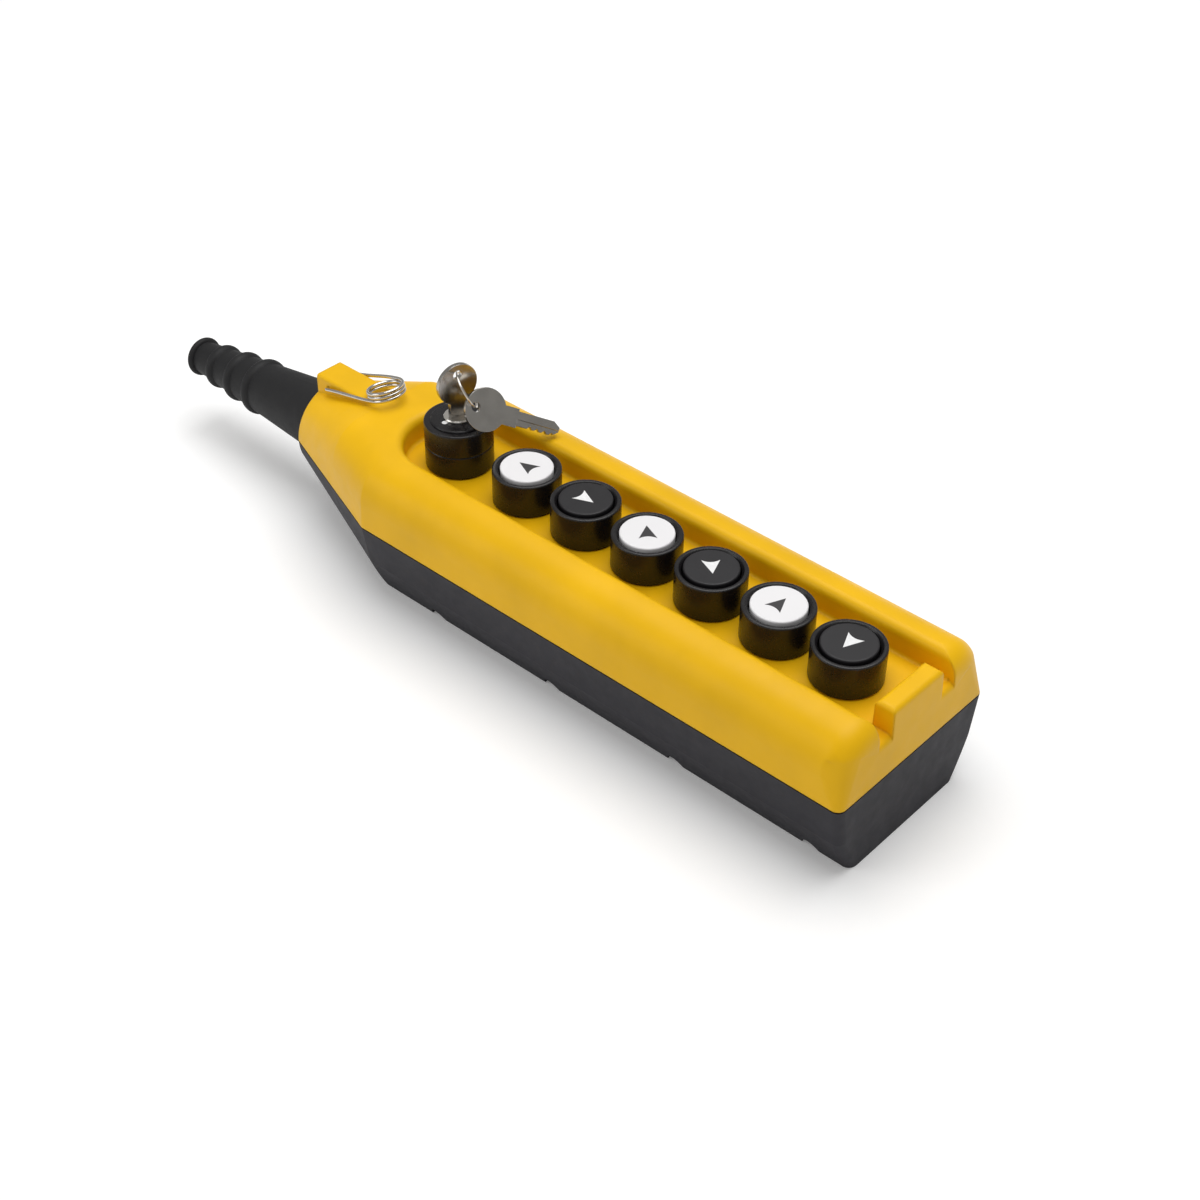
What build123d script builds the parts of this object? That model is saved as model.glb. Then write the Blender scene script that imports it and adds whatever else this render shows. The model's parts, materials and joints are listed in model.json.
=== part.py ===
from build123d import *
import os
from math import cos, pi, radians, sin

os.makedirs("parts", exist_ok=True)

# All lengths are in millimetres. The station lies on its back: +X runs to the
# blunt bottom end, the cable boot points to -X, and the buttons face +Z.

# Housing
housing_length = 330.8
straight_length = 259.5
housing_width = 94.8
full_height_length = 290.0
parting_height = 38.6
cover_height = 29.9
cover_side_lean = 1.4
shoulder_radius = 18.0
end_corner_radius = 10.0
parting_corner_radius = 3.7
corner_fade_height = 19.9
end_draft = 1.3
wall = 3.0
neck_radius = 21.8
cover_splits = [0, 28, 72, 108, 152, 180]

# Base casing
base_bend_height = 18.5
base_bend_inset = 3.6
base_floor_inset = 12.4
base_side_bulge = 0.4
base_splits = [180, 210, 255, 285, 330, 360]

# Parting seal
gasket_thickness = 0.6
gasket_setback = 1.0
gasket_width = 1.8

# Button channel
channel_half_width = 24.5
channel_depth = 11.8
channel_floor_radius = 1.5
rail_edge_radius = 3.75
run_out_radius = 3.0

# Block at the blunt end of the channel
end_block_width = 31.6
end_block_thickness = 9.0
end_block_height = 12.0
end_block_edge_radius = 2.2

# Hanger ridge on the head
ridge_half_width = 7.6
ridge_edge_radius = 1.5

# Button row
button_count = 6
button_pitch = 34.0
end_to_row_middle = 119.3
key_pitch = 41.2

# Button collar
collar_radius = 15.0
collar_rise = 16.1
collar_rim_width = 1.0
collar_rim_radius = 0.7
bezel_drop = 1.3
cap_bore_radius = 12.1
cap_bore_floor_rise = 3.3
neck_tube_radius = 11.0
neck_tube_reach = 12.0
panel_hole_clearance = 0.25
thread_clearance = 0.06

# Button cap, stem and spring
cap_radius = 11.5
cap_rise = 0.7
cap_depth = 7.0
cap_top_thickness = 2.2
cap_skirt_thickness = 1.3
cap_edge_radius = 0.7
stem_radius = 5.5
stem_running_clearance = 0.08
stem_below_neck = 6.0
stem_stop_radius = 6.3
stem_stop_thickness = 2.0
spring_wire = 0.8
spring_coil_radius = 7.6
spring_turns = 3.5
spring_steps_per_turn = 10
spring_end_gap = 0.06
moving_gap = 0.3

# Collar seal and lock nut
seal_radius = 14.2
seal_thickness = 0.9
nut_outer_radius = 14.4
nut_thickness = 4.0
nut_flats = 8

# Contact blocks
block_length = 25.0
block_width = 38.0
block_height = 22.0
block_corner_radius = 1.0
block_well_radius = 6.8
block_well_depth = 14.0
cam_well_radius = 9.4
cam_well_depth = 8.0
terminal_step_width = 6.0
terminal_step_depth = 6.0
terminal_spacing = 13.0
terminal_screw_radius = 2.4
terminal_screw_height = 2.0
terminal_slot_width = 0.7
terminal_slot_depth = 0.8

# Key switch
key_collar_radius = 15.15
key_lower_rise = 11.5
key_upper_rise = 11.0
key_seam_groove = 0.35
key_plate_radius = 12.2
key_plate_thickness = 0.9
lock_radius = 5.8
lock_flange_radius = 6.4
lock_flange_thickness = 1.15
lock_running_clearance = 0.06
lock_end_clearance = 0.1
lock_cam_length = 15.0
lock_cam_width = 7.0
lock_cam_thickness = 1.6

# Keys
key_thickness = 2.0
key_bow_radius = 9.6
key_bow_to_tip = 36.0
key_blade_width = 6.4
key_shoulder_width = 8.4
key_shoulder_end = 15.4
key_hole_radius = 2.1
key_hole_offset = 4.8
key_groove_width = 1.4
key_groove_depth = 0.5
key_notch_size = 1.8
key_notch_pitch = 3.6
key_notch_count = 4
key_bow_rise = 15.65
key_bow_turn = 13.0
key_slot_clearance = 0.08

# Spare key, as it lies on the ring
spare_bow_offset_x = 12.8
spare_bow_offset_y = 4.0
spare_bow_drop = 9.5
spare_heading = 57.6
spare_dip = 26.5
spare_lean = 32.0

# Key ring, through three points given from the two bows
ring_wire = 0.9
ring_key_shift_x = -0.48
ring_key_shift_y = 0.09
ring_spare_shift_x = 0.22
ring_spare_shift_y = -0.27
ring_side_x = 7.99
ring_side_y = 7.73

# Hanger clip
clip_wire = 1.7
clip_coil_outer = 18.0
clip_turns = 2.5
clip_turn_gap = 0.06
clip_leg_length = 32.4
clip_leg_rise = 16.0
clip_hinge_from_neck = 7.6
clip_hinge_depth = 4.2
clip_hole_clearance = 0.08
clip_leg_gap = 0.75
clip_tail_length = 5.0
clip_bend_radius = 1.1

# Cable boot
boot_reach = 99.3
boot_droop = 3.0
boot_root_radius = 17.2
boot_end_radius = 7.7
boot_first_rib = 51.0
boot_rib_pitch = 15.3
boot_rib_count = 3
boot_rib_height = 1.6
boot_rib_half_width = 3.0
boot_lip_radius = 9.7
boot_lip_height = 2.0
boot_lip_width = 3.4
boot_cavity_radius = 11.5
plug_cavity_radius = 13.0
cable_bore_radius = 6.5
cable_bore_length = 40.0
neck_bore_radius = 17.5
neck_lip = 5.0
groove_radius = 19.6
groove_width = 5.0
boot_flange_clearance = 0.1

# Cable clamp
clamp_from_neck = 30.0
clamp_length = 12.0
clamp_half_width = 17.5
clamp_thickness = 3.5
clamp_bore_radius = 7.0
clamp_seat_height = 36.0
clamp_screw_offset = 13.9
clamp_screw_radius = 1.75
clamp_screw_depth = 12.0
clamp_screw_head_radius = 3.0
clamp_screw_head_height = 2.0

# Casing screws
screw_rows = 4
screw_pitch = 68.9
screw_from_end = 19.1
screw_line = 33.5
screw_pocket_radius = 4.3
screw_pocket_depth = 12.0
screw_head_radius = 3.6
screw_head_height = 2.6
screw_shank_radius = 2.0
screw_length = 40.0
screw_slot_width = 1.1
screw_slot_depth = 1.2
screw_boss_radius = 5.6
cover_boss_radius = 5.0
screw_clearance = 0.1

# Main heights and half-widths
half_width = housing_width / 2
rail_top_half_width = half_width - cover_side_lean
base_bend_half_width = half_width - base_bend_inset
base_floor_half_width = half_width - base_floor_inset
rail_top_height = parting_height + cover_height
channel_floor_height = rail_top_height - channel_depth
collar_top_height = channel_floor_height + collar_rise
cap_bore_floor_height = channel_floor_height + cap_bore_floor_rise
cap_top_height = collar_top_height + cap_rise
key_lower_top_height = channel_floor_height + key_lower_rise
key_upper_top_height = key_lower_top_height + key_upper_rise

# Places along the station
overall_length = housing_length + boot_reach
end_x = overall_length / 2
neck_x = end_x - housing_length
neck_space_x = neck_x + 2 * neck_lip + groove_width
knee_x = end_x - straight_length
full_height_x = end_x - full_height_length
end_wall = wall + end_draft
row_middle_x = end_x - end_to_row_middle
button_xs = [row_middle_x + (i - (button_count - 1) / 2) * button_pitch for i in range(button_count)]
key_x = button_xs[0] - key_pitch
switch_xs = [key_x] + button_xs
screw_xs = [end_x - screw_from_end - i * screw_pitch for i in range(screw_rows)]
screw_places = [(x, side * screw_line) for x in screw_xs for side in (-1, 1)]
hinge_x = neck_x + clip_hinge_from_neck
clip_hinge_height = rail_top_height - clip_hinge_depth
clamp_x = neck_x + clamp_from_neck
clamp_screw_places = [(clamp_x, side * clamp_screw_offset) for side in (-1, 1)]

# Further widths and heights that follow from the sizes above
head_slope = (half_width - neck_radius) / (knee_x - neck_x)
full_height_half_width = half_width - head_slope * (knee_x - full_height_x)
panel_underside = channel_floor_height - wall
base_top_height = parting_height - gasket_thickness / 2
screw_top = screw_pocket_depth + screw_length
panel_hole_radius = neck_tube_radius + panel_hole_clearance
neck_tube_bottom = channel_floor_height - neck_tube_reach
seal_top = channel_floor_height + seal_thickness
cap_underside = cap_top_height - cap_top_thickness
cap_bottom = cap_top_height - cap_depth
stem_guide_radius = stem_radius + stem_running_clearance
block_top = neck_tube_bottom
block_bottom = block_top - block_height
lock_bore_radius = lock_radius + lock_running_clearance
lock_bottom = neck_tube_bottom - moving_gap
lock_flange_bottom = key_upper_top_height + key_plate_thickness + lock_end_clearance
lock_top = lock_flange_bottom + lock_flange_thickness
key_bow_height = lock_top + key_bow_rise
keyway_bottom = key_bow_height - key_bow_to_tip - moving_gap


def end_face_x(z):
    """Place of the blunt end's drafted face, at one height."""
    return end_x - end_draft * (z - parting_height) / (rail_top_height - parting_height)


def cover_side_y(z):
    """Half-width of the cover's drafted side, at one height."""
    lean = (half_width - rail_top_half_width) / (rail_top_height - parting_height)
    return half_width - lean * (z - parting_height)


def corner_plan(z, radius, side):
    """Plan of one blunt corner of the cover at one height, with its corner rounded."""
    outer_x = end_face_x(z)
    outer_y = side * cover_side_y(z)
    inner_x = outer_x - 2 * end_corner_radius
    inner_y = outer_y - side * 2 * end_corner_radius
    with BuildSketch(Plane.XY.offset(z)) as section:
        with BuildLine():
            Polyline(
                (inner_x, inner_y),
                (outer_x, inner_y),
                (outer_x, outer_y),
                (inner_x, outer_y),
                close=True,
            )
        make_face()
        outer_corner = section.vertices().sort_by(Axis.X)[-2:].sort_by(Axis.Y)
        fillet(outer_corner[-1 if side > 0 else 0], radius=radius)
    return section.sketch


def cover_section(x, bottom_half_width, inset):
    """Cross-section of the cover with its rounded shoulders, moved in by the given inset."""
    bottom = bottom_half_width - inset
    top = bottom - (half_width - rail_top_half_width)
    height = rail_top_height - inset
    with BuildSketch(Plane.YZ.offset(x)) as section:
        with BuildLine():
            Polyline(
                (-bottom, parting_height),
                (bottom, parting_height),
                (top, height),
                (-top, height),
                close=True,
            )
        make_face()
        fillet(section.vertices().group_by(Axis.Y)[-1], radius=shoulder_radius - inset)
    return section.sketch


def rail_space_section(x):
    """Cross-section of the space inside the cover, beside and below the channel."""
    side = half_width - wall
    top_side = rail_top_half_width - wall
    inner = channel_half_width + wall
    height = rail_top_height - wall
    # The shoulder's round stays within the room beside the channel
    inner_shoulder = min(shoulder_radius - wall, top_side - inner - moving_gap)
    with BuildSketch(Plane.YZ.offset(x)) as section:
        with BuildLine():
            Polyline(
                (-side, parting_height),
                (side, parting_height),
                (top_side, height),
                (inner, height),
                (inner, panel_underside),
                (-inner, panel_underside),
                (-inner, height),
                (-top_side, height),
                close=True,
            )
        make_face()
        top_corners = section.vertices().group_by(Axis.Y)[-1].sort_by(Axis.X)
        fillet([top_corners[0], top_corners[-1]], radius=inner_shoulder)
    return section.sketch


def base_section(x, inset):
    """Cross-section of the base, its skin moved in by the given inset."""
    top = half_width - inset
    bend = base_bend_half_width - inset
    floor = base_floor_half_width - inset
    with BuildSketch(Plane.YZ.offset(x)) as section:
        with BuildLine():
            Line((-top, parting_height), (top, parting_height))
            Line((top, parting_height), (bend, base_bend_height))
            SagittaArc((bend, base_bend_height), (floor, inset), base_side_bulge)
            Line((floor, inset), (-floor, inset))
            SagittaArc((-floor, inset), (-bend, base_bend_height), base_side_bulge)
            Line((-bend, base_bend_height), (-top, parting_height))
        make_face()
    return section.sketch


def half_disc(x, radius, angles):
    """Half disc on the parting plane, its rim split at the given angles."""
    start_point = (radius * cos(radians(angles[0])), parting_height)
    end_point = (radius * cos(radians(angles[-1])), parting_height)
    with BuildSketch(Plane.YZ.offset(x)) as section:
        with BuildLine():
            Line(end_point, start_point)
            for start, stop in zip(angles, angles[1:]):
                CenterArc((0, parting_height), radius, start, stop - start)
        make_face()
    return section.sketch


def channel_section(plane, whole):
    """The channel's cross-section, open at the top: one half of it, or the whole."""
    side = channel_half_width
    floor = channel_floor_height
    corner = channel_floor_radius
    edge_start = rail_top_height - rail_edge_radius
    outside = side + rail_edge_radius
    above = rail_top_height + shoulder_radius
    with BuildSketch(plane) as section:
        with BuildLine():
            Line((0, above), (0, floor))
            Line((0, floor), (side - corner, floor))
            RadiusArc((side - corner, floor), (side, floor + corner), -corner)
            Line((side, floor + corner), (side, edge_start))
            RadiusArc((side, edge_start), (outside, rail_top_height), rail_edge_radius)
            Line((outside, rail_top_height), (outside, above))
            Line((outside, above), (0, above))
        make_face()
        if whole:
            mirror(about=Plane.YZ)
    return section.sketch


def outline_section(z, inset):
    """The housing's outline in plan at one height, moved in by the given inset."""
    with BuildSketch(Plane.XY.offset(z)) as section:
        with BuildLine():
            Polyline(
                (neck_x, -neck_radius),
                (knee_x, -half_width),
                (end_x, -half_width),
                (end_x, half_width),
                (knee_x, half_width),
                (neck_x, neck_radius),
                close=True,
            )
        make_face()
        fillet(section.vertices().group_by(Axis.X)[-1], radius=parting_corner_radius)
        offset(amount=-inset, kind=Kind.INTERSECTION, mode=Mode.REPLACE)
    return section.sketch


def neck_bore_section():
    """Half-section of the neck's bore and of the groove that holds the cable boot."""
    groove_start = neck_x + neck_lip
    groove_end = groove_start + groove_width
    with BuildSketch(Plane.XZ) as section:
        with BuildLine():
            Polyline(
                (neck_x - wall, parting_height),
                (neck_x - wall, parting_height + neck_bore_radius),
                (groove_start, parting_height + neck_bore_radius),
                (groove_start, parting_height + groove_radius),
                (groove_end, parting_height + groove_radius),
                (groove_end, parting_height + neck_bore_radius),
                (neck_space_x, parting_height + neck_bore_radius),
                (neck_space_x, parting_height),
                close=True,
            )
        make_face()
    return section.sketch


def block_body(x):
    """Outer form of a contact block with a step for the terminals on both sides."""
    with BuildPart() as body:
        with BuildSketch(Plane.XY.offset(block_bottom)):
            with Locations((x, 0)):
                RectangleRounded(block_length, block_width, block_corner_radius)
        extrude(amount=block_height)
        with BuildSketch(Plane.XY.offset(block_top)):
            with Locations((x, block_width / 2), (x, -block_width / 2)):
                Rectangle(2 * block_length, 2 * terminal_step_width)
        extrude(amount=-terminal_step_depth, mode=Mode.SUBTRACT)
    return body.part


# Straight stretch of the cover, cut by its drafted end face
with BuildPart() as cover_blank:
    extrude(cover_section(knee_x, half_width, 0), amount=straight_length)
    with BuildSketch(Plane.XZ):
        with BuildLine():
            Polyline(
                (end_x, parting_height),
                (end_x + wall, parting_height),
                (end_x + wall, rail_top_height + wall),
                (end_face_x(rail_top_height + wall), rail_top_height + wall),
                close=True,
            )
        make_face()
    extrude(amount=housing_width, both=True, mode=Mode.SUBTRACT)

# The blunt end's corners get crisper toward the parting line
fade_top = parting_height + corner_fade_height
with BuildPart() as crisp_corners:
    for side in (-1, 1):
        crisp_plan = corner_plan(parting_height, parting_corner_radius, side)
        loft([crisp_plan, corner_plan(fade_top, end_corner_radius + end_draft / 2, side)], ruled=True)
    add(cover_blank.part, mode=Mode.INTERSECT)

# Cover skin: the outer form of the upper shell, with its head
with BuildPart() as cover_skin:
    add(cover_blank.part)
    end_rim = cover_skin.faces().sort_by(Axis.X)[-1].edges().sort_by(Axis.Z)[1:]
    fillet(end_rim, radius=end_corner_radius)
    add(crisp_corners.part)
    knee_section = cover_section(knee_x, half_width, 0)
    full_height_section = cover_section(full_height_x, full_height_half_width, 0)
    loft([knee_section, full_height_section], ruled=True)
    loft([full_height_section, half_disc(neck_x, neck_radius, cover_splits)], ruled=True)
    with BuildSketch(Plane.YZ.offset(neck_x)) as ridge_section:
        with Locations((0, rail_top_height - neck_radius / 2)):
            Rectangle(2 * ridge_half_width, neck_radius)
        fillet(ridge_section.vertices().group_by(Axis.Y)[-1], radius=ridge_edge_radius)
    extrude(amount=knee_x - neck_x)

# Space inside the cover, at one wall from the skin
with BuildPart() as cover_space:
    extrude(rail_space_section(key_x), amount=end_x - end_corner_radius - key_x)
    extrude(cover_section(knee_x, half_width, wall), amount=key_x - knee_x)
    with BuildSketch(Plane.XY.offset(parting_height)) as lower_space:
        with Locations(((knee_x + end_x - end_wall) / 2, 0)):
            Rectangle(end_x - end_wall - knee_x, housing_width - 2 * wall)
        fillet(lower_space.vertices().group_by(Axis.X)[-1], radius=end_corner_radius - wall)
    extrude(amount=panel_underside - parting_height)
    knee_space = cover_section(knee_x, half_width, wall)
    full_height_space = cover_section(full_height_x, full_height_half_width, wall)
    loft([knee_space, full_height_space], ruled=True)
    loft([full_height_space, half_disc(neck_space_x, neck_bore_radius, cover_splits)], ruled=True)

# Block that closes the middle of the channel at the blunt end
block_top_z = channel_floor_height + end_block_height
run_out_foot_z = channel_floor_height - run_out_radius
with BuildPart() as end_block:
    with BuildSketch(Plane.XZ):
        with BuildLine():
            Polyline(
                (end_x - end_block_thickness - end_draft, run_out_foot_z),
                (end_x - end_block_thickness - end_draft, block_top_z),
                (end_face_x(block_top_z), block_top_z),
                (end_face_x(run_out_foot_z), run_out_foot_z),
                close=True,
            )
        make_face()
    extrude(amount=end_block_width / 2, both=True)
    fillet(end_block.faces().sort_by(Axis.Z)[-1].edges(), radius=end_block_edge_radius)

# Columns that take the casing screws, trimmed to the cover's skin
with BuildPart() as cover_columns:
    with BuildSketch(Plane.XY.offset(parting_height)):
        with Locations(*screw_places):
            Circle(cover_boss_radius)
    extrude(amount=rail_top_height - parting_height)
    add(cover_skin.part, mode=Mode.INTERSECT)

# Cover: the yellow moulded shell with its button channel
key_profile_plane = Plane(origin=(key_x, 0, 0), x_dir=(1, 0, 0), z_dir=(0, -1, 0))
key_axis = Axis((key_x, 0, 0), (0, 0, 1))
neck_axis = Axis((0, 0, parting_height), (1, 0, 0))
with BuildPart() as cover:
    add(cover_skin.part)
    add(cover_space.part, mode=Mode.SUBTRACT)
    add(cover_columns.part)
    # Tub that walls off the channel's round end inside the head
    with BuildSketch(Plane.XY.offset(panel_underside)):
        with Locations((key_x, 0)):
            Circle(channel_half_width + wall)
    extrude(amount=rail_top_height - wall - panel_underside)
    # Channel, run out through the blunt end
    extrude(channel_section(Plane.YZ.offset(key_x), True), amount=end_x + wall - key_x, mode=Mode.SUBTRACT)
    revolve(channel_section(key_profile_plane, False), axis=key_axis, mode=Mode.SUBTRACT)
    # Rounded run-out of the channel floor
    run_out_top = (end_face_x(channel_floor_height) - run_out_radius, channel_floor_height)
    run_out_foot = (end_face_x(run_out_foot_z), run_out_foot_z)
    with BuildSketch(Plane.XZ):
        with BuildLine():
            RadiusArc(run_out_top, run_out_foot, run_out_radius)
            Polyline(
                run_out_foot,
                (end_x + wall, run_out_foot_z),
                (end_x + wall, channel_floor_height + channel_floor_radius),
                (run_out_top[0], channel_floor_height + channel_floor_radius),
                run_out_top,
            )
        make_face()
    extrude(amount=channel_half_width, both=True, mode=Mode.SUBTRACT)
    add(end_block.part)
    # Pilot holes for the casing screws
    with BuildSketch(Plane.XY.offset(parting_height)):
        with Locations(*screw_places):
            Circle(screw_shank_radius + screw_clearance)
    extrude(amount=screw_top - parting_height + wall / 2, mode=Mode.SUBTRACT)
    # Panel holes for the key switch and the buttons
    with BuildSketch(Plane.XY.offset(channel_floor_height)):
        with Locations(*[(x, 0) for x in switch_xs]):
            Circle(panel_hole_radius)
    extrude(amount=-2 * wall, mode=Mode.SUBTRACT)
    # Neck bore, hanger hole and the flat seat on the gasket
    revolve(neck_bore_section(), axis=neck_axis, mode=Mode.SUBTRACT)
    with BuildSketch(Plane.XZ):
        with Locations((hinge_x, clip_hinge_height)):
            Circle(clip_wire / 2 + clip_hole_clearance)
    extrude(amount=housing_width, both=True, mode=Mode.SUBTRACT)
    with BuildSketch(Plane.XY.offset(parting_height)):
        Rectangle(overall_length, housing_width)
    extrude(amount=gasket_thickness / 2, mode=Mode.SUBTRACT)

cover.part.label = "cover"
export_step(cover.part, "parts/cover.step")

# Base skin: the outer form of the lower shell, with its nose
with BuildPart() as base_skin:
    extrude(base_section(knee_x, 0), amount=straight_length)
    end_edges = base_skin.faces().sort_by(Axis.X)[-1].edges()
    corner_edges = [edge for edge in end_edges if abs(edge.center().Y) > base_floor_half_width / 2]
    fillet(corner_edges, radius=parting_corner_radius)
    loft([base_section(knee_x, 0), half_disc(neck_x, neck_radius, base_splits)], ruled=True)

# Space inside the base
with BuildPart() as base_space:
    extrude(base_section(knee_x, wall), amount=straight_length - end_wall)
    loft([base_section(knee_x, wall), half_disc(neck_space_x, neck_bore_radius, base_splits)], ruled=True)

# Screw columns and the cable clamp's seat, trimmed to the base's skin
with BuildPart() as base_columns:
    with BuildSketch():
        with Locations(*screw_places):
            Circle(screw_boss_radius)
    extrude(amount=parting_height)
    with BuildSketch():
        with Locations((clamp_x, 0)):
            Rectangle(clamp_length, 2 * clamp_half_width)
    extrude(amount=clamp_seat_height)
    with BuildSketch(Plane.YZ.offset(clamp_x)):
        with Locations((0, parting_height)):
            Circle(clamp_bore_radius)
    extrude(amount=clamp_length, both=True, mode=Mode.SUBTRACT)
    add(base_skin.part, mode=Mode.INTERSECT)

# Base: the dark lower shell
with BuildPart() as base:
    add(base_skin.part)
    add(base_space.part, mode=Mode.SUBTRACT)
    add(base_columns.part)
    with BuildSketch():
        with Locations(*screw_places):
            Circle(screw_pocket_radius)
    extrude(amount=screw_pocket_depth, mode=Mode.SUBTRACT)
    with BuildSketch():
        with Locations(*screw_places):
            Circle(screw_shank_radius + screw_clearance)
    extrude(amount=parting_height, mode=Mode.SUBTRACT)
    with BuildSketch(Plane.XY.offset(clamp_seat_height)):
        with Locations(*clamp_screw_places):
            Circle(clamp_screw_radius + screw_clearance)
    extrude(amount=-clamp_screw_depth, mode=Mode.SUBTRACT)
    revolve(neck_bore_section(), axis=neck_axis, mode=Mode.SUBTRACT)
    with BuildSketch(Plane.XY.offset(parting_height)):
        Rectangle(overall_length, housing_width)
    extrude(amount=-gasket_thickness / 2, mode=Mode.SUBTRACT)

base.part.label = "base"
export_step(base.part, "parts/base.step")

# Parting gasket: a flat ring set back from the edge, open at the neck
with BuildPart() as parting_gasket:
    extrude(outline_section(base_top_height, gasket_setback), amount=gasket_thickness)
    gasket_opening = outline_section(base_top_height, gasket_setback + gasket_width)
    extrude(gasket_opening, amount=gasket_thickness, mode=Mode.SUBTRACT)
    with BuildSketch(Plane.XY.offset(base_top_height)):
        with Locations((neck_x, 0)):
            Rectangle(2 * (neck_space_x - neck_x), housing_width)
    extrude(amount=gasket_thickness, mode=Mode.SUBTRACT)

parting_gasket.part.label = "parting_gasket"
export_step(parting_gasket.part, "parts/parting_gasket.step")

# Casing screws, driven from the pockets in the base
with BuildPart() as casing_screws:
    with BuildSketch(Plane.XY.offset(screw_pocket_depth)):
        with Locations(*screw_places):
            Circle(screw_head_radius)
    extrude(amount=-screw_head_height)
    with BuildSketch(Plane.XY.offset(screw_pocket_depth)):
        with Locations(*screw_places):
            Circle(screw_shank_radius)
    extrude(amount=screw_length)
    with BuildSketch(Plane.XY.offset(screw_pocket_depth - screw_head_height)):
        with Locations(*screw_places):
            Rectangle(2 * screw_head_radius, screw_slot_width)
    extrude(amount=screw_slot_depth, mode=Mode.SUBTRACT)

casing_screws.part.label = "casing_screws"
export_step(casing_screws.part, "parts/casing_screws.step")

# Cable boot: the rubber sleeve, its ribs and the flange held in the neck
sleeve_plane = Plane(
    origin=(neck_x, 0, parting_height),
    x_dir=(-cos(radians(boot_droop)), 0, -sin(radians(boot_droop))),
    z_dir=(0, 1, 0),
)
sleeve_axis = Axis(sleeve_plane.origin, sleeve_plane.x_dir)
sleeve_length = (boot_reach - boot_lip_radius * sin(radians(boot_droop))) / cos(radians(boot_droop))
cone_slope = (boot_root_radius - boot_end_radius) / sleeve_length
rib_places = [boot_first_rib + i * boot_rib_pitch for i in range(boot_rib_count)]
flange_start = neck_x + neck_lip + boot_flange_clearance
flange_end = neck_x + neck_lip + groove_width - boot_flange_clearance
flange_radius = groove_radius - boot_flange_clearance
plug_radius = neck_bore_radius - boot_flange_clearance


def cone_radius(s):
    """Radius of the boot's plain cone, at one distance from the neck."""
    return boot_root_radius - cone_slope * s


with BuildPart() as cable_boot:
    with BuildSketch(sleeve_plane):
        with BuildLine():
            Line((-wall, 0), (-wall, cone_radius(wall)))
            Line((-wall, cone_radius(wall)), (0, cone_radius(0)))
            last_point = (0, cone_radius(0))
            for rib in rib_places:
                foot = (rib - boot_rib_half_width, cone_radius(rib - boot_rib_half_width))
                crest = (rib, cone_radius(rib) + boot_rib_height)
                heel = (rib + boot_rib_half_width, cone_radius(rib + boot_rib_half_width))
                Line(last_point, foot)
                ThreePointArc(foot, crest, heel)
                last_point = heel
            lip_start = sleeve_length - boot_lip_width
            Line(last_point, (lip_start, cone_radius(lip_start)))
            ThreePointArc(
                (lip_start, cone_radius(lip_start)),
                (sleeve_length - boot_lip_width / 3, boot_lip_radius),
                (sleeve_length, boot_lip_radius - boot_lip_height / 2),
            )
            Line((sleeve_length, boot_lip_radius - boot_lip_height / 2), (sleeve_length, 0))
            Line((sleeve_length, 0), (-wall, 0))
        make_face()
    revolve(axis=sleeve_axis)
    with BuildSketch(Plane.XZ):
        with BuildLine():
            Polyline(
                (neck_x, parting_height),
                (neck_x, parting_height + plug_radius),
                (flange_start, parting_height + plug_radius),
                (flange_start, parting_height + flange_radius),
                (flange_end, parting_height + flange_radius),
                (flange_end, parting_height + plug_radius),
                (neck_space_x, parting_height + plug_radius),
                (neck_space_x, parting_height),
                close=True,
            )
        make_face()
    revolve(axis=neck_axis)
    with BuildSketch(Plane.YZ.offset(neck_space_x)):
        with Locations((0, parting_height)):
            Circle(plug_cavity_radius)
    extrude(amount=neck_x + wall - neck_space_x, mode=Mode.SUBTRACT)
    with BuildSketch(sleeve_plane):
        with BuildLine():
            cavity_end = sleeve_length - cable_bore_length
            Polyline(
                (-2 * wall, 0),
                (-2 * wall, boot_cavity_radius),
                (cavity_end / 2, boot_cavity_radius),
                (cavity_end, cable_bore_radius),
                (sleeve_length + wall, cable_bore_radius),
                (sleeve_length + wall, 0),
                close=True,
            )
        make_face()
    revolve(axis=sleeve_axis, mode=Mode.SUBTRACT)

cable_boot.part.label = "cable_boot"
export_step(cable_boot.part, "parts/cable_boot.step")

# Cable clamp: a saddle screwed down on its seat in the base
clamp_top = clamp_seat_height + clamp_thickness
with BuildPart() as cable_clamp:
    with BuildSketch(Plane.YZ.offset(clamp_x - clamp_length / 2)):
        with Locations((0, parting_height)):
            Circle(clamp_bore_radius + clamp_thickness)
        with Locations((0, clamp_seat_height + clamp_thickness / 2)):
            Rectangle(2 * clamp_half_width, clamp_thickness)
        with Locations((0, clamp_seat_height - clamp_half_width)):
            Rectangle(2 * clamp_half_width, 2 * clamp_half_width, mode=Mode.SUBTRACT)
        with Locations((0, parting_height)):
            Circle(clamp_bore_radius, mode=Mode.SUBTRACT)
    extrude(amount=clamp_length)
    with BuildSketch(Plane.XY.offset(clamp_seat_height)):
        with Locations(*clamp_screw_places):
            Circle(clamp_screw_radius + screw_clearance)
    extrude(amount=clamp_thickness, mode=Mode.SUBTRACT)

cable_clamp.part.label = "cable_clamp"
export_step(cable_clamp.part, "parts/cable_clamp.step")

with BuildPart() as cable_clamp_screws:
    with BuildSketch(Plane.XY.offset(clamp_top)):
        with Locations(*clamp_screw_places):
            Circle(clamp_screw_head_radius)
    extrude(amount=clamp_screw_head_height)
    with BuildSketch(Plane.XY.offset(clamp_top)):
        with Locations(*clamp_screw_places):
            Circle(clamp_screw_radius)
    extrude(amount=-clamp_screw_depth)

cable_clamp_screws.part.label = "cable_clamp_screws"
export_step(cable_clamp_screws.part, "parts/cable_clamp_screws.step")

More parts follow.
